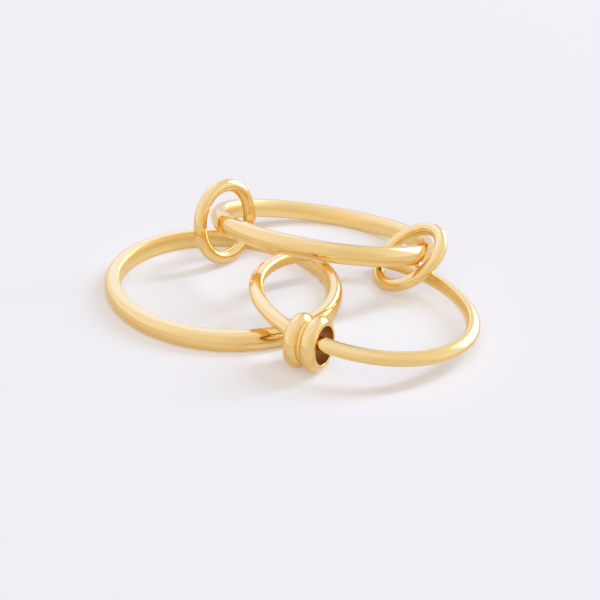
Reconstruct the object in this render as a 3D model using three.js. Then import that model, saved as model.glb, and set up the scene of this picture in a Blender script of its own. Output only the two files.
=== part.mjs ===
// Fidget ring of polished gold-coloured metal, lying on a table.
// Three finger bands are linked by two small round-wire hoops, and a ribbed
// spinner collar is threaded on the right band. Millimetres, +Z up. The origin
// is on the table, under the middle of the whole ring. +X runs to the right as
// the ring lies, +Y away from the viewer.

import {
  EllipseCurve, Group, LatheGeometry, Mesh, MeshStandardMaterial, Quaternion,
  Vector2, Vector3,
} from 'three';
import { mergeVertices } from 'three/addons/utils/BufferGeometryUtils.js';

// ---- finger bands: inside radius, width along the finger, wall thickness ----
const FINGER_BAND_INSIDE_RADIUS = 8.65;
const WIDE_BAND_WIDTH = 1.66;
const WIDE_BAND_WALL = 1.35;
const WIDE_BAND_FLAT_SHARE = 0.56; // part of the wall before the dome starts
const SLIM_BAND_INSIDE_RADIUS = 8.34;
const SLIM_BAND_WIDTH = 1.11;
const SLIM_BAND_WALL = 1.16;
const SLIM_BAND_FLAT_SHARE = 0.21;
const EDGE_EASE_SHARE = 0.05; // eased inner edge, as a share of the width

// ---- link hoops of round wire ----
const HOOP_CENTRE_RADIUS = 3.18;
const HOOP_WIRE_RADIUS = 0.565;

// ---- spinner collar: two half-round ribs over a round bore ----
const COLLAR_HALF_LENGTH = 1.346;
const COLLAR_BORE_RADIUS = 1.494;
const COLLAR_CREST_RADIUS = 2.143;
const COLLAR_ROOT_RADIUS = 1.58; // where a rib meets the collar's end face
const COLLAR_GROOVE_RADIUS = 1.70;
const COLLAR_GROOVE_HALF_WIDTH = 0.05;
const COLLAR_EDGE_EASE = 0.04;

// ---- how each piece lies: centre, and the way its axis points ----
const LEFT_BAND_CENTRE = [-5.58, -1.90, WIDE_BAND_WIDTH / 2];
const LEFT_BAND_AXIS = [0, 0, 1];
const TOP_BAND_CENTRE = [2.32, 5.30, 3.27];
const TOP_BAND_AXIS = [0.0668, 0.2518, 0.9655];
const RIGHT_BAND_CENTRE = [6.12, -5.51, 2.28];
const RIGHT_BAND_AXIS = [0.089, 0.0231, 0.9958];
const LEFT_HOOP_CENTRE = [-6.27, 4.25, 3.84];
const LEFT_HOOP_AXIS = [0.7903, -0.5845, 0.1835];
const RIGHT_HOOP_CENTRE = [10.04, 2.84, 2.67];
const RIGHT_HOOP_AXIS = [-0.633, -0.2019, 0.7474];
const COLLAR_CENTRE = [1.82, -12.72, 2.31];
const COLLAR_AXIS = [0.888, -0.441, 0.126];

// ---- how finely the round shapes are cut into flat faces ----
const BAND_SEGMENTS = 60;
const BAND_DOME_STEPS = 8;
const HOOP_SEGMENTS = 36;
const HOOP_WIRE_STEPS = 10;
const COLLAR_SEGMENTS = 36;
const RIB_STEPS = 7;
const MERGE_TOLERANCE = 1e-5;

const gold = new MeshStandardMaterial({ color: 0xe9c06f, roughness: 0.16, metalness: 1 });
gold.name = 'polished_gold';

// Turns a closed profile (x = distance from the axis, y = along the axis) into
// a ring and lays it at its centre with its axis along the given direction.
function ringPiece(name, profile, segments, centre, axis) {
  const closed = [...profile, profile[0].clone()];
  let geometry = new LatheGeometry(closed, segments);
  geometry.deleteAttribute('uv');
  geometry.deleteAttribute('normal');
  geometry = mergeVertices(geometry, MERGE_TOLERANCE);
  geometry.computeVertexNormals();
  const turn = new Quaternion().setFromUnitVectors(
    new Vector3(0, 1, 0), new Vector3(...axis).normalize());
  const mesh = new Mesh(geometry, gold);
  mesh.name = name;
  mesh.quaternion.copy(turn);
  mesh.position.set(...centre);
  return mesh;
}

// Band section: a flat inner face with eased edges, straight sides, and a half
// ellipse for the domed outside.
function bandProfile(insideRadius, width, wall, flatShare) {
  const half = width / 2;
  const ease = EDGE_EASE_SHARE * width;
  const domeFoot = insideRadius + flatShare * wall;
  const dome = new EllipseCurve(
    domeFoot, 0, (1 - flatShare) * wall, half, -Math.PI / 2, Math.PI / 2);
  return [
    new Vector2(insideRadius, -half + ease),
    new Vector2(insideRadius + ease, -half),
    ...dome.getPoints(BAND_DOME_STEPS),
    new Vector2(insideRadius + ease, half),
    new Vector2(insideRadius, half - ease),
  ];
}

function wireProfile(centreRadius, wireRadius) {
  const circle = new EllipseCurve(centreRadius, 0, wireRadius, wireRadius);
  return circle.getPoints(HOOP_WIRE_STEPS).slice(0, -1);
}

// One rib of the collar from its outer end to the groove. The rib is half of an
// ellipse that stops where it comes down to the groove's floor.
function ribPoints() {
  const height = COLLAR_CREST_RADIUS - COLLAR_ROOT_RADIUS;
  const stop = Math.PI
    - Math.asin((COLLAR_GROOVE_RADIUS - COLLAR_ROOT_RADIUS) / height);
  const halfWidth = (COLLAR_HALF_LENGTH - COLLAR_GROOVE_HALF_WIDTH) / (1 - Math.cos(stop));
  const middle = -COLLAR_HALF_LENGTH + halfWidth;
  const points = [];
  for (let step = 0; step <= RIB_STEPS; step += 1) {
    const angle = (stop * step) / RIB_STEPS;
    points.push(new Vector2(
      COLLAR_ROOT_RADIUS + height * Math.sin(angle), middle - halfWidth * Math.cos(angle)));
  }
  return points;
}

function collarProfile() {
  const lower = ribPoints();
  const upper = lower.map((point) => new Vector2(point.x, -point.y)).reverse();
  return [
    new Vector2(COLLAR_BORE_RADIUS, -COLLAR_HALF_LENGTH + COLLAR_EDGE_EASE),
    new Vector2(COLLAR_BORE_RADIUS + COLLAR_EDGE_EASE, -COLLAR_HALF_LENGTH),
    ...lower,
    ...upper,
    new Vector2(COLLAR_BORE_RADIUS + COLLAR_EDGE_EASE, COLLAR_HALF_LENGTH),
    new Vector2(COLLAR_BORE_RADIUS, COLLAR_HALF_LENGTH - COLLAR_EDGE_EASE),
  ];
}

const wideBand = bandProfile(
  FINGER_BAND_INSIDE_RADIUS, WIDE_BAND_WIDTH, WIDE_BAND_WALL, WIDE_BAND_FLAT_SHARE);
const slimBand = bandProfile(
  SLIM_BAND_INSIDE_RADIUS, SLIM_BAND_WIDTH, SLIM_BAND_WALL, SLIM_BAND_FLAT_SHARE);
const hoopWire = wireProfile(HOOP_CENTRE_RADIUS, HOOP_WIRE_RADIUS);

const fidgetRing = new Group();
fidgetRing.name = 'fidget_ring';
fidgetRing.add(
  ringPiece('left_band', wideBand, BAND_SEGMENTS, LEFT_BAND_CENTRE, LEFT_BAND_AXIS),
  ringPiece('top_band', wideBand, BAND_SEGMENTS, TOP_BAND_CENTRE, TOP_BAND_AXIS),
  ringPiece('right_band', slimBand, BAND_SEGMENTS, RIGHT_BAND_CENTRE, RIGHT_BAND_AXIS),
  ringPiece('left_link_hoop', hoopWire, HOOP_SEGMENTS, LEFT_HOOP_CENTRE, LEFT_HOOP_AXIS),
  ringPiece('right_link_hoop', hoopWire, HOOP_SEGMENTS, RIGHT_HOOP_CENTRE, RIGHT_HOOP_AXIS),
  ringPiece('spinner_collar', collarProfile(), COLLAR_SEGMENTS, COLLAR_CENTRE, COLLAR_AXIS),
);

export default fidgetRing;
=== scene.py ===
# %% [markdown]
# # A linked fidget ring in polished gold
# This lesson dresses a small jewel: three slim finger bands, two round-wire hoops that
# link them, and a ribbed collar that slides on the slimmest band. The exact solids come
# first, as a fixed frame. Everything after that is about making smooth, believable metal.

# %% Load the fixed frame
import math

import bpy
import numpy as np
from mathutils import Matrix, Vector


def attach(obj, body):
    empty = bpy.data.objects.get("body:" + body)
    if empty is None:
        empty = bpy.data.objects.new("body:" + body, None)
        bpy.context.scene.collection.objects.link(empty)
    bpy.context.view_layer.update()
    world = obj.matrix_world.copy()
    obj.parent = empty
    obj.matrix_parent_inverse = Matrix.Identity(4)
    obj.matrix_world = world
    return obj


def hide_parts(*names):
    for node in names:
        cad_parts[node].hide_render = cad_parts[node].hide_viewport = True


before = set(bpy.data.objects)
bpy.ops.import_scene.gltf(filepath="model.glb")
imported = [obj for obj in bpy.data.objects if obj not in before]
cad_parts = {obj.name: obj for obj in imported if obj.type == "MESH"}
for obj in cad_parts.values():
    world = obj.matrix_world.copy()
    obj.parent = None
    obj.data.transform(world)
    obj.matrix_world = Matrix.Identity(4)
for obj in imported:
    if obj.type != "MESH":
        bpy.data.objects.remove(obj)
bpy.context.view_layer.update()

MM = 0.001
print("nodes:", sorted(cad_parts))

# %% [markdown]
# ## Sections: what each piece looks like where it is cut
# Every piece of this jewel is a closed outline swept once round an axis, so the outline is
# all there is to design. Each outline point holds its distance from the axis, its height
# along the axis, and a mark from 0 to 1 that says how far it belongs to the inside.
# The outlines could be drawn as curves, but computed points give exact, even facets, and
# polished metal shows the smallest bump in its reflections.

# %% Arc helper for rounded corners and domes
def ellipse_arc(middle, reach, start, stop, steps, inside=0.0):
    """Points on an ellipse round `middle`, from the start to the stop angle in degrees."""
    points = []
    for step in range(steps + 1):
        turn = math.radians(start + (stop - start) * step / steps)
        points.append((
            middle[0] + reach[0] * math.cos(turn),
            middle[1] + reach[1] * math.sin(turn),
            inside,
        ))
    return points


# %% [markdown]
# ## The finger bands
# A finger band is softly domed on both sides: high outside, where it shows, and shallow
# inside, so that it slides over the skin. Short straight sides join the two domes. Each
# dome is half an ellipse, which leaves the sides without a corner, so no reflection breaks.
# The two shares say how much of the wall lies inward of the high dome's foot, and how much
# the shallow dome takes.

# %% Band section
WIDE_BAND = dict(inside_radius=8.65, width=1.66, wall=1.35, flat_share=0.56, inner_share=0.26)
SLIM_BAND = dict(inside_radius=8.34, width=1.11, wall=1.16, flat_share=0.34, inner_share=0.26)
OUTER_DOME_STEPS = 56
INNER_DOME_STEPS = 48
SIDE_STEPS = 6


def band_section(inside_radius, width, wall, flat_share, inner_share):
    half = width / 2
    dome_foot = inside_radius + flat_share * wall
    inner_foot = inside_radius + inner_share * wall
    outer_reach = ((1 - flat_share) * wall, half)
    inner_reach = (inner_share * wall, half)
    outer_dome = ellipse_arc((dome_foot, 0), outer_reach, -90, 90, OUTER_DOME_STEPS)
    inner_dome = ellipse_arc((inner_foot, 0), inner_reach, 90, 270, INNER_DOME_STEPS, 1.0)
    side = np.linspace(inner_foot, dome_foot, SIDE_STEPS)[1:-1]
    lower_side = [(radius, -half, 0.0) for radius in side]
    upper_side = [(radius, half, 0.0) for radius in side[::-1]]
    return outer_dome + upper_side + inner_dome + lower_side


wide_section = band_section(**WIDE_BAND)
slim_section = band_section(**SLIM_BAND)
print("band section points:", len(wide_section), len(slim_section))

# %% [markdown]
# ## The link hoops
# The hoops are plain round wire bent into a circle and closed. A torus primitive would do,
# but the same sweep as for the bands keeps the surface marks running along the wire.

# %% Wire section
HOOP_CENTRE_RADIUS = 3.18
HOOP_WIRE_RADIUS = 0.565


def wire_section(centre_radius, wire_radius, steps=48):
    reach = (wire_radius, wire_radius)
    return ellipse_arc((centre_radius, 0), reach, 0, 360 - 360 / steps, steps - 1)


hoop_section = wire_section(HOOP_CENTRE_RADIUS, HOOP_WIRE_RADIUS)
print("wire section points:", len(hoop_section))

# %% [markdown]
# ## The spinner collar
# The collar is turned from one piece: two full ribs with a narrow groove between them, over
# a plain bore that is wider than the band it slides on. The bore's edges are eased by a
# hair, and its wall is left dull, with a dark brown colour that is painted shade for the
# shadow inside the bore, which is why the collar reads as a tube. A rib is
# the upper part of an ellipse, cut off where it meets the groove.

# %% Collar section
COLLAR = dict(half_length=1.346, bore=1.494, crest=2.143, root=1.58, groove=1.70)
GROOVE_HALF_WIDTH = 0.12
COLLAR_EDGE_EASE = 0.04
COLLAR_EDGE_STEPS = 6
BORE_STEPS = 25


def rib_points(steps=44):
    height = COLLAR["crest"] - COLLAR["root"]
    stop = math.pi - math.asin((COLLAR["groove"] - COLLAR["root"]) / height)
    half_width = (COLLAR["half_length"] - GROOVE_HALF_WIDTH) / (1 - math.cos(stop))
    middle = -COLLAR["half_length"] + half_width
    stop_degrees = math.degrees(stop)
    points = []
    for step in range(steps + 1):
        turn = math.radians(stop_degrees * step / steps)
        points.append((
            COLLAR["root"] + height * math.sin(turn),
            middle - half_width * math.cos(turn),
            0.0,
        ))
    return points


def collar_section():
    end = COLLAR["half_length"]
    bore = COLLAR["bore"]
    ease = (COLLAR_EDGE_EASE, COLLAR_EDGE_EASE)
    corner = bore + COLLAR_EDGE_EASE
    lower = rib_points()
    upper = [(radius, -height, mark) for radius, height, mark in reversed(lower)]
    lower_edge = ellipse_arc((corner, -end + ease[1]), ease, 180, 270, COLLAR_EDGE_STEPS)
    upper_edge = ellipse_arc((corner, end - ease[1]), ease, 90, 180, COLLAR_EDGE_STEPS)
    wall = np.linspace(end - ease[1], -end + ease[1], BORE_STEPS)[1:-1]
    bore_wall = [(bore, height, 1.0) for height in wall]
    return lower_edge + lower + upper + upper_edge + bore_wall


collar_outline = collar_section()
print("collar section points:", len(collar_outline))

# %% [markdown]
# ## Sweeping a section into a piece
# The sweep puts the section at many angles round the axis and joins neighbours with
# four-sided faces. Two things are stored with each point for the materials: the mark for
# the inside, and where the point lies along and across the swept surface, in millimetres.
# The second is three numbers, so that marks that run round the ring have no seam.

# %% Sweep helper
def sweep(name, section, centre, axis, around):
    up = Vector(axis).normalized()
    side = up.orthogonal().normalized()
    ahead = up.cross(side)
    outline = np.array(section)
    following = np.roll(outline, -1, axis=0)
    lengths = np.hypot(*(following[:, :2] - outline[:, :2]).T)
    across = np.concatenate([[0.0], np.cumsum(lengths)[:-1]])
    reach = outline[:, 0].mean()

    vertices, lay, inside = [], [], []
    for turn in np.linspace(0, 2 * math.pi, around, endpoint=False):
        outward = side * math.cos(turn) + ahead * math.sin(turn)
        for (radius, height, mark), arc in zip(section, across):
            vertices.append((Vector(centre) + outward * radius + up * height) * MM)
            lay.extend((reach * math.cos(turn), reach * math.sin(turn), arc))
            inside.append(mark)

    count = len(section)
    faces = []
    for step in range(around):
        here, there = step * count, (step + 1) % around * count
        for point in range(count):
            after = (point + 1) % count
            faces.append((here + point, there + point, there + after, here + after))

    mesh = bpy.data.meshes.new(name)
    mesh.from_pydata(vertices, [], faces)
    mesh.attributes.new("lay", "FLOAT_VECTOR", "POINT").data.foreach_set("vector", lay)
    mesh.attributes.new("inside", "FLOAT", "POINT").data.foreach_set("value", inside)
    mesh.shade_smooth()
    mesh.update()
    piece = bpy.data.objects.new(name, mesh)
    bpy.context.scene.collection.objects.link(piece)
    return piece


# %% [markdown]
# ## Where the pieces lie
# The centres and axes are the same values as in the solids: the left band is flat on the
# table, the back band leans over the other two, and the slim band lies over the left one.

# %% Centres in millimetres, and axes
LIE_OF_PIECE = {
    "band_left": ((-5.58, -1.90, 0.83), (0, 0, 1)),
    "band_top": ((2.32, 5.30, 3.27), (0.0668, 0.2518, 0.9655)),
    "band_right": ((6.12, -5.51, 2.28), (0.089, 0.0231, 0.9958)),
    "hoop_left": ((-6.27, 4.25, 3.84), (0.7903, -0.5845, 0.1835)),
    "hoop_right": ((10.04, 2.84, 2.67), (-0.633, -0.2019, 0.7474)),
    "collar_ribbed": ((1.82, -12.72, 2.31), (0.888, -0.441, 0.126)),
}
STEPS_ROUND_BAND = 420
STEPS_ROUND_SMALL = 260
print("pieces to sweep:", len(LIE_OF_PIECE))

# %% Make the bands
def place_band(name, section):
    return sweep(name, section, *LIE_OF_PIECE[name], STEPS_ROUND_BAND)


left_band = place_band("band_left", wide_section)
top_band = place_band("band_top", wide_section)
right_band = place_band("band_right", slim_section)
print("faces in a wide band:", len(left_band.data.polygons))

# %% Make the hoops and the collar
def place_small(name, section):
    return sweep(name, section, *LIE_OF_PIECE[name], STEPS_ROUND_SMALL)


left_hoop = place_small("hoop_left", hoop_section)
right_hoop = place_small("hoop_right", hoop_section)
collar = place_small("collar_ribbed", collar_outline)
print("faces in the collar:", len(collar.data.polygons))

# %% [markdown]
# ## Tying the pieces to the frame
# Each smooth piece stands for its faceted solid and moves with that solid's body.

# %% Ride and replace
LINKED = "linked_bands"
pieces = (
    (left_band, LINKED, "left_band"),
    (top_band, LINKED, "top_band"),
    (right_band, LINKED, "right_band"),
    (left_hoop, LINKED, "left_link_hoop"),
    (right_hoop, LINKED, "right_link_hoop"),
    (collar, "collar", "spinner_collar"),
)
for piece, body, node in pieces:
    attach(piece, body)
    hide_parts(node)

# %% [markdown]
# ## Helpers for node graphs
# Material graphs get long, so a few helpers keep them readable. They add a node with its
# settings, do one step of arithmetic, make noise, and mix two colours. Where a helper takes
# a fixed value it sets the socket, and where it takes another node's output it wires it.

# %% Node helpers
def add_node(tree, kind, **settings):
    node = tree.nodes.new(kind)
    for name, value in settings.items():
        setattr(node, name, value)
    return node


def math_node(tree, operation, first, second):
    node = add_node(tree, "ShaderNodeMath", operation=operation)
    for socket, value in zip(node.inputs, (first, second)):
        if isinstance(value, (int, float)):
            socket.default_value = value
        else:
            tree.links.new(value, socket)
    return node.outputs["Value"]


def noise_node(tree, vector, scale, detail):
    node = add_node(tree, "ShaderNodeTexNoise")
    node.inputs["Scale"].default_value = scale
    node.inputs["Detail"].default_value = detail
    tree.links.new(vector, node.inputs["Vector"])
    return node.outputs["Fac"]


# %% Colour mixing helper
# A Mix node has sockets for every kind of data. These are the places of the colour ones.
MIX_SHARE, MIX_UNDER, MIX_OVER = 0, 6, 7
MIX_RESULT = 2


def mix_colours(tree, under, share, over):
    """Lay one colour over another, as far as the share goes."""
    node = add_node(tree, "ShaderNodeMix", data_type="RGBA")
    for place, value in ((MIX_SHARE, share), (MIX_UNDER, under), (MIX_OVER, over)):
        if isinstance(value, tuple):
            node.inputs[place].default_value = (*value, 1)
        else:
            tree.links.new(value, node.inputs[place])
    return node.outputs[MIX_RESULT]


# %% Node group helper
def new_group(name, inputs, outputs):
    """A shader node group with float or vector sockets made through its interface."""
    tree = bpy.data.node_groups.new(name, "ShaderNodeTree")
    for label, kind, value in inputs:
        socket = tree.interface.new_socket(label, in_out="INPUT", socket_type=kind)
        if value is not None:
            socket.default_value = value
    for label, kind in outputs:
        tree.interface.new_socket(label, in_out="OUTPUT", socket_type=kind)
    return tree, tree.nodes.new("NodeGroupInput"), tree.nodes.new("NodeGroupOutput")


# %% [markdown]
# ## Polishing marks
# Polished gold is never a perfect mirror. The buffing wheel leaves very fine lines that run
# round the ring, and the hand leaves a slow, shallow waviness under them. The group takes
# the position on the swept surface, squeezes it so that noise turns into long lines, and
# gives back a height for the bump and a haze for the roughness.

# %% Group: polishing marks
ALONG_THE_LINES = 0.06
WAVES_PER_MILLIMETRE = 0.45
marks_tree, marks_in, marks_out = new_group(
    "polishing_marks",
    [
        ("Lay", "NodeSocketVector", None),
        ("Lines Per Millimetre", "NodeSocketFloat", 9.0),
        ("Line Depth", "NodeSocketFloat", 0.3),
        ("Wave Depth", "NodeSocketFloat", 1.0),
    ],
    [("Height", "NodeSocketFloat"), ("Haze", "NodeSocketFloat")],
)
stretch = add_node(marks_tree, "ShaderNodeCombineXYZ")
stretch.inputs["X"].default_value = ALONG_THE_LINES
stretch.inputs["Y"].default_value = ALONG_THE_LINES
marks_tree.links.new(marks_in.outputs["Lines Per Millimetre"], stretch.inputs["Z"])
squeezed = add_node(marks_tree, "ShaderNodeVectorMath", operation="MULTIPLY")
marks_tree.links.new(marks_in.outputs["Lay"], squeezed.inputs[0])
marks_tree.links.new(stretch.outputs["Vector"], squeezed.inputs[1])
lines = noise_node(marks_tree, squeezed.outputs["Vector"], 1.0, 3.0)
waves = noise_node(marks_tree, marks_in.outputs["Lay"], WAVES_PER_MILLIMETRE, 1.0)
line_height = math_node(marks_tree, "MULTIPLY", lines, marks_in.outputs["Line Depth"])
wave_height = math_node(marks_tree, "MULTIPLY", waves, marks_in.outputs["Wave Depth"])
height = math_node(marks_tree, "ADD", line_height, wave_height)
marks_tree.links.new(height, marks_out.inputs["Height"])
marks_tree.links.new(lines, marks_out.inputs["Haze"])
print("polishing marks:", len(marks_tree.nodes), "nodes")

# %% [markdown]
# ## Handling wear
# Fingers dull a ring in soft patches, more on the inside where it rubs. The group mixes two
# sizes of noise into a patchy mask and adds the inside mark to it. In the gold, the mask
# deepens the colour of the outside a little and dulls the polish everywhere.

# %% Group: handling wear
SPECKS_PER_MILLIMETRE = 5.0
PATCH_WEIGHT = 0.6
SPECK_WEIGHT = 0.3
wear_tree, wear_in, wear_out = new_group(
    "handling_wear",
    [
        ("Position", "NodeSocketVector", None),
        ("Inside", "NodeSocketFloat", 0.0),
        ("Inside Share", "NodeSocketFloat", 0.4),
        ("Patches Per Millimetre", "NodeSocketFloat", 0.35),
    ],
    [("Mask", "NodeSocketFloat")],
)
patch_noise = add_node(wear_tree, "ShaderNodeTexNoise")
patch_noise.inputs["Detail"].default_value = 3.0
wear_tree.links.new(wear_in.outputs["Position"], patch_noise.inputs["Vector"])
wear_tree.links.new(wear_in.outputs["Patches Per Millimetre"], patch_noise.inputs["Scale"])
specks = noise_node(wear_tree, wear_in.outputs["Position"], SPECKS_PER_MILLIMETRE, 2.0)
patches = math_node(wear_tree, "MULTIPLY", patch_noise.outputs["Fac"], PATCH_WEIGHT)
small = math_node(wear_tree, "MULTIPLY", specks, SPECK_WEIGHT)
both = math_node(wear_tree, "ADD", patches, small)
rubbed = math_node(
    wear_tree, "MULTIPLY", wear_in.outputs["Inside"], wear_in.outputs["Inside Share"])
total = math_node(wear_tree, "ADD", both, rubbed)
wear_tree.links.new(total, wear_out.inputs["Mask"])
print("handling wear:", len(wear_tree.nodes), "nodes")

# %% [markdown]
# ## Gold
# Metal has no diffuse colour: its colour is the tint of what it mirrors. The tint of this
# pale yellow gold keeps almost all red, about two thirds of green and under a third of
# blue. One recipe makes three finishes. They differ in the tone of the inside, in the depth
# of the marks, and in how hazy the polish is outside and inside. The paler inside of the
# bands is painted light, and the dark brown bore of the collar is painted shade.

# %% Tones of gold
LIGHT_GOLD = (0.95, 0.69, 0.285)
DEEP_GOLD = (0.93, 0.655, 0.25)
# The paler gold of the bands' inner faces is painted light that brightens their reflections.
INNER_GOLD_PAINTED_LIGHT = (0.975, 0.735, 0.32)
# The bore's dark brown is painted shade: the shadow inside the collar's bore, put into its colour.
BORE_PAINTED_SHADE = (0.66, 0.37, 0.13)
MARK_HEIGHT = 0.004 * MM
print("tallest mark:", round(MARK_HEIGHT / MM * 1000, 1), "micrometres for each unit of depth")

# %% Gold recipe
def gold(name, inner, haze, inner_haze, line_depth, wave_depth, inside_share, lines):
    material = bpy.data.materials.new(name)
    material.use_nodes = True
    tree = material.node_tree
    shader = tree.nodes["Principled BSDF"]
    shader.inputs["Metallic"].default_value = 1.0

    lay = add_node(tree, "ShaderNodeAttribute", attribute_name="lay")
    inside = add_node(tree, "ShaderNodeAttribute", attribute_name="inside")
    marks = add_node(tree, "ShaderNodeGroup", node_tree=marks_tree)
    marks.inputs["Line Depth"].default_value = line_depth
    marks.inputs["Wave Depth"].default_value = wave_depth
    marks.inputs["Lines Per Millimetre"].default_value = lines
    tree.links.new(lay.outputs["Vector"], marks.inputs["Lay"])
    wear = add_node(tree, "ShaderNodeGroup", node_tree=wear_tree)
    wear.inputs["Inside Share"].default_value = inside_share
    tree.links.new(lay.outputs["Vector"], wear.inputs["Position"])
    tree.links.new(inside.outputs["Fac"], wear.inputs["Inside"])

    outer_tone = mix_colours(tree, LIGHT_GOLD, wear.outputs["Mask"], DEEP_GOLD)
    tone = mix_colours(tree, outer_tone, inside.outputs["Fac"], inner)
    tree.links.new(tone, shader.inputs["Base Color"])

    rough = add_node(tree, "ShaderNodeMapRange")
    rough.inputs["To Min"].default_value = haze[0]
    rough.inputs["To Max"].default_value = haze[1]
    dulled = math_node(tree, "MULTIPLY", marks.outputs["Haze"], wear.outputs["Mask"])
    tree.links.new(dulled, rough.inputs["Value"])
    satin = math_node(tree, "MULTIPLY", inside.outputs["Fac"], inner_haze)
    roughness = math_node(tree, "ADD", rough.outputs["Result"], satin)
    tree.links.new(roughness, shader.inputs["Roughness"])

    bump = add_node(tree, "ShaderNodeBump")
    bump.inputs["Strength"].default_value = 1.0
    bump.inputs["Distance"].default_value = MARK_HEIGHT
    tree.links.new(marks.outputs["Height"], bump.inputs["Height"])
    tree.links.new(bump.outputs["Normal"], shader.inputs["Normal"])
    return material


# %% Three finishes of gold
band_gold = gold(
    "band_gold", inner=INNER_GOLD_PAINTED_LIGHT, haze=(0.07, 0.26), inner_haze=0.20,
    line_depth=0.25, wave_depth=3.0, inside_share=0.35, lines=9.0)
wire_gold = gold(
    "wire_gold", inner=INNER_GOLD_PAINTED_LIGHT, haze=(0.07, 0.26), inner_haze=0.0,
    line_depth=0.25, wave_depth=2.0, inside_share=0.0, lines=7.0)
# The collar's inside tone is the painted shade of its bore.
collar_gold = gold(
    "collar_gold", inner=BORE_PAINTED_SHADE, haze=(0.05, 0.18), inner_haze=0.30,
    line_depth=0.2, wave_depth=0.6, inside_share=0.6, lines=12.0)
for piece in (left_band, top_band, right_band):
    piece.data.materials.append(band_gold)
for piece in (left_hoop, right_hoop):
    piece.data.materials.append(wire_gold)
collar.data.materials.append(collar_gold)
print("finishes:", band_gold.name, wire_gold.name, collar_gold.name)

# %% [markdown]
# ## Table
# The ring lies on a plain pale sheet that glows a little by itself, like the top of a
# photographer's light table, so that no shadow on it goes black. It is one square, large
# enough to fill the picture, and it lies a hair below the ring.

# %% Sheet shape
SHEET_HALF = 1.5
SHEET_DROP = 0.01 * MM
sheet_mesh = bpy.data.meshes.new("table_sheet")
square = ((-1, -1), (1, -1), (1, 1), (-1, 1))
corners = [(x * SHEET_HALF, y * SHEET_HALF, -SHEET_DROP) for x, y in square]
sheet_mesh.from_pydata(corners, [], [(0, 1, 2, 3)])
table_sheet = bpy.data.objects.new("table_sheet", sheet_mesh)
bpy.context.scene.collection.objects.link(table_sheet)
print("sheet is", 2 * SHEET_HALF, "m wide")

# %% [markdown]
# ## Sheet material
# The sheet is matt and almost even, with a very faint mottle. Its glow is a shade warm,
# while the shadow lamp further down is cool: where the lamp is blocked, the shadow turns
# slightly warm, as it does beside polished gold. What the metal mirrors of the glow is
# dimmer and warmer still, which deepens the gold where it faces the table.

# %% Pale sheet
SHEET_GREY = 0.80
MOTTLE = 0.004
MOTTLE_SCALE = 60.0
GLOW = (0.25, 0.225, 0.22)
GLOW_IN_METAL = (0.19, 0.15, 0.11)
pale_sheet = bpy.data.materials.new("pale_sheet")
pale_sheet.use_nodes = True
sheet_tree = pale_sheet.node_tree
sheet_shader = sheet_tree.nodes["Principled BSDF"]
sheet_shader.inputs["Roughness"].default_value = 0.8
sheet_shader.inputs["Specular IOR Level"].default_value = 0.0
sheet_shader.inputs["Emission Strength"].default_value = 1.0

sheet_rays = add_node(sheet_tree, "ShaderNodeLightPath")
glow = mix_colours(sheet_tree, GLOW, sheet_rays.outputs["Is Glossy Ray"], GLOW_IN_METAL)
sheet_tree.links.new(glow, sheet_shader.inputs["Emission Color"])

sheet_place = add_node(sheet_tree, "ShaderNodeTexCoord")
mottle = noise_node(sheet_tree, sheet_place.outputs["Object"], MOTTLE_SCALE, 2.0)
darker, lighter = (SHEET_GREY - MOTTLE,) * 3, (SHEET_GREY + MOTTLE,) * 3
pale = mix_colours(sheet_tree, darker, mottle, lighter)
sheet_tree.links.new(pale, sheet_shader.inputs["Base Color"])
table_sheet.data.materials.append(pale_sheet)
print("sheet grey from", round(darker[0], 3), "to", round(lighter[0], 3))

# %% [markdown]
# ## Studio
# Gold shows the room more than itself. This room is a white tent, painted as soft patches
# on the world background. Real lamps and cards would do, but each would also light the
# sheet, and a patch can be moved or softened without touching anything else. Directions
# are given as the photographer sees them: an azimuth from straight back, and a height.

# %% Direction helper
def toward(azimuth, elevation):
    """Unit vector: azimuth 0 is straight back, positive to the right."""
    a, e = math.radians(azimuth), math.radians(elevation)
    return Vector((math.cos(e) * math.sin(a), math.cos(e) * math.cos(a), math.sin(e)))


# %% The world and its two helpers
world = bpy.data.worlds.new("white_tent")
bpy.context.scene.world = world
world.use_nodes = True
tent = world.node_tree
heading = add_node(tent, "ShaderNodeTexCoord").outputs["Generated"]


def closeness(direction):
    """How closely the ray's direction agrees with the given one, from -1 to 1."""
    node = add_node(tent, "ShaderNodeVectorMath", operation="DOT_PRODUCT")
    node.inputs[1].default_value = direction
    tent.links.new(heading, node.inputs[0])
    return node.outputs["Value"]


def fade(value, gone, full):
    """A soft share: 0 where the value is at `gone`, 1 where it is at `full`."""
    node = add_node(tent, "ShaderNodeMapRange", interpolation_type="SMOOTHSTEP")
    node.inputs["From Min"].default_value = gone
    node.inputs["From Max"].default_value = full
    tent.links.new(value, node.inputs["Value"])
    return node.outputs["Result"]


print("world:", world.name)

# %% [markdown]
# ## Patches of the tent
# A cool bright wall stands on the left, a glow and a strong lamp are behind, with a gap
# between the two, and the side at the right toward the camera is duller. Later patches lie
# over earlier ones. Each has a direction, the angles from it in degrees where the patch is
# still full and where it is gone, and the light that the metal sees there.

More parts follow.
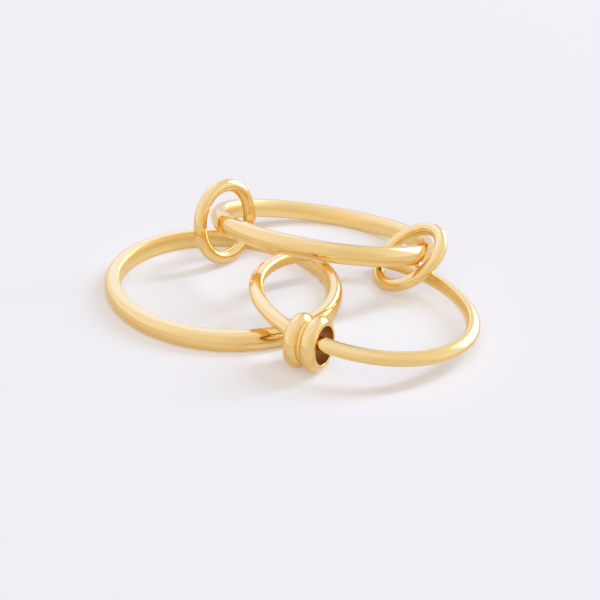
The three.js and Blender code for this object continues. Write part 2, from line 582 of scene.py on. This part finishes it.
# %% Paint the tent
TENT_BASE = (0.89, 0.87, 0.93)
PATCHES = (
    # name, azimuth, elevation, full within, gone beyond, light
    ("left_wall", -70, 25, 35, 80, (1.00, 1.03, 1.40)),
    ("ceiling", -90, 82, 12, 40, (0.98, 1.00, 1.38)),
    ("lamp_side", 60, 10, 40, 56, (0.93, 0.95, 1.02)),
    ("right_dim", 145, 15, 12, 38, (0.83, 0.77, 0.75)),
    ("lamp_glow", 72, 8, 14, 34, (1.00, 1.04, 1.45)),
    ("back_glow", -18, 38, 12, 32, (1.04, 1.21, 2.00)),
    ("back_low", 5, 0, 8, 24, (1.00, 1.20, 2.05)),
    ("gap", 13, 46, 7, 15, (0.84, 0.85, 0.98)),
    ("lamp_end", 58, 10, 6, 13, (1.7, 1.8, 2.0)),
    ("lamp", 41, 16, 14, 21, (5.0, 5.0, 5.0)),
)
tent_light = TENT_BASE
for name, azimuth, elevation, full_within, gone_beyond, patch_light in PATCHES:
    gone, full = math.cos(math.radians(gone_beyond)), math.cos(math.radians(full_within))
    share = fade(closeness(toward(azimuth, elevation)), gone, full)
    tent_light = mix_colours(tent, tent_light, share, patch_light)
print("tent patches:", [patch[0] for patch in PATCHES])

# %% [markdown]
# ## The tent's frame
# Low at the back, one dark upright of the tent's frame shows as a thin line in the bands. It
# is a narrow strip: full near the upright plane through its direction, and gone beside it,
# above it and below it.

# %% Frame strip
FRAME_AZIMUTH, FRAME_ELEVATION = 7, 10
FRAME_LIGHT = (0.42, 0.42, 0.46)
STRIP_HALF_WIDTH = dict(gone=0.055, full=0.025)
STRIP_HEIGHT = dict(gone=0.90, full=0.95)
sideways = closeness(toward(FRAME_AZIMUTH + 90, 0))
beside_strip = math_node(tent, "ABSOLUTE", sideways, 0.0)
strip_width = fade(beside_strip, **STRIP_HALF_WIDTH)
strip_height = fade(closeness(toward(FRAME_AZIMUTH, FRAME_ELEVATION)), **STRIP_HEIGHT)
strip = math_node(tent, "MULTIPLY", strip_width, strip_height)
tent_light = mix_colours(tent, tent_light, strip, FRAME_LIGHT)
edge_angle = math.degrees(math.asin(STRIP_HALF_WIDTH["gone"]))
print("strip is gone", round(edge_angle, 1), "degrees beside its middle")

# %% [markdown]
# ## Fill light for the sheet
# The sheet gets a light of its own: a soft patch overhead, a stronger one from the front,
# and a little from all sides. The tent would do it in one, but it is so bright all round
# that the shadows would all but vanish. Light that the gold throws on the sheet is cool
# before the gold tints it, and nearly white after, or the sheet would glow yellow all
# round the ring.

# %% Fill
FILL_ABOVE = (0.86, 0.82, 0.79)
FILL_FRONT = (1.50, 1.38, 1.30)
FILL_SIDES = (0.21, 0.205, 0.20)
FILL_OFF_METAL = (1.0, 1.4, 3.4)
FILL_EDGE = dict(gone=0.77, full=0.966)
overhead = fade(closeness(toward(0, 90)), **FILL_EDGE)
in_front = fade(closeness(toward(185, 45)), **FILL_EDGE)
fill = mix_colours(tent, FILL_SIDES, overhead, FILL_ABOVE)
fill = mix_colours(tent, fill, in_front, FILL_FRONT)
fill_angles = [round(math.degrees(math.acos(FILL_EDGE[end]))) for end in ("full", "gone")]
print("fill patches are full and gone at", fill_angles, "degrees")

# %% [markdown]
# ## Which light a ray sees
# The Light Path node tells the rays apart. A ray that has only met metal since it left the
# camera sees the tent. Every other ray sees the fill, except one that went from the sheet to
# the metal and on, which sees the light off the metal.

# %% Choose the light by the ray's path
rays = add_node(tent, "ShaderNodeLightPath")
after_sheet = math_node(tent, "MINIMUM", rays.outputs["Diffuse Depth"], 1.0)
before_sheet = math_node(tent, "SUBTRACT", 1.0, after_sheet)
mirrored = math_node(tent, "MULTIPLY", rays.outputs["Is Glossy Ray"], before_sheet)
not_diffuse = math_node(tent, "SUBTRACT", 1.0, rays.outputs["Is Diffuse Ray"])
off_metal = math_node(tent, "MULTIPLY", after_sheet, not_diffuse)
sheet_light = mix_colours(tent, fill, off_metal, FILL_OFF_METAL)
world_light = mix_colours(tent, sheet_light, mirrored, tent_light)
tent.links.new(world_light, tent.nodes["Background"].inputs["Color"])
print("world nodes:", len(tent.nodes))

# %% [markdown]
# ## The shadow lamp
# One tall lamp at the back right throws the long soft shadows on the sheet. It is
# far away, so the sheet is evenly lit, and the metal does not mirror it: the tent has the
# lamp's own reflection.

# %% Lamp
LAMP_AZIMUTH, LAMP_ELEVATION = 58, 39
LAMP_DISTANCE = 3.0
LAMP_WIDTH = 0.5
LAMP_HEIGHT = 2.2
LAMP_RADIANCE = 15.5
LAMP_TINT = (0.61, 0.75, 1.0)
lamp = bpy.data.lights.new("back_right_lamp", "AREA")
lamp.shape = "RECTANGLE"
lamp.size, lamp.size_y = LAMP_WIDTH, LAMP_HEIGHT
lamp.energy = LAMP_RADIANCE * LAMP_WIDTH * LAMP_HEIGHT * math.pi
lamp.color = LAMP_TINT
lamp_stand = bpy.data.objects.new("back_right_lamp", lamp)
lamp_stand.location = toward(LAMP_AZIMUTH, LAMP_ELEVATION) * LAMP_DISTANCE
lamp_aim = (-toward(LAMP_AZIMUTH, LAMP_ELEVATION)).to_track_quat("-Z", "Y")
lamp_stand.rotation_euler = lamp_aim.to_euler()
lamp_stand.visible_glossy = False
bpy.context.scene.collection.objects.link(lamp_stand)
spans = [2 * math.degrees(math.atan(size / 2 / LAMP_DISTANCE)) for size in (LAMP_WIDTH, LAMP_HEIGHT)]
print("lamp spans", [round(span, 1) for span in spans], "degrees")

# %% [markdown]
# ## Camera
# The camera stands in front, a good 28 degrees above the table, and leans a little to one
# side, which tips the picture clockwise. Its place and its lens length are the ones that
# fit the photograph's outlines best.

# %% Camera
CAMERA_ELEVATION = 28.379
CAMERA_DISTANCE = 97.73 * MM
CAMERA_ROLL = 5.047
AIM = Vector((0.87, -1.91, 0.0)) * MM
SENSOR = 36.0
FOCAL_SHARE = 1154.5 / 600

back = toward(180, CAMERA_ELEVATION)
level_right = Vector((1, 0, 0))
level_up = back.cross(level_right)
roll = math.radians(CAMERA_ROLL)
right = level_right * math.cos(roll) + level_up * math.sin(roll)
up = level_up * math.cos(roll) - level_right * math.sin(roll)
camera_data = bpy.data.cameras.new("studio_camera")
camera_data.sensor_width = SENSOR
camera_data.lens = SENSOR * FOCAL_SHARE
camera_data.clip_start = 0.005
camera_data.clip_end = 20
camera = bpy.data.objects.new("studio_camera", camera_data)
placement = Matrix((right, up, back)).transposed().to_4x4()
placement.translation = AIM + back * CAMERA_DISTANCE
camera.matrix_world = placement
bpy.context.scene.collection.objects.link(camera)
bpy.context.scene.camera = camera
print("lens", round(camera_data.lens, 1), "mm at", round(CAMERA_DISTANCE / MM, 1), "mm")

# %% [markdown]
# ## Colour
# The plain display transform keeps the white sheet white and lets the brightest reflections
# clip, as they do in the photograph.

# %% Finish
view_settings = bpy.context.scene.view_settings
view_settings.view_transform = "Standard"
view_settings.look = "None"
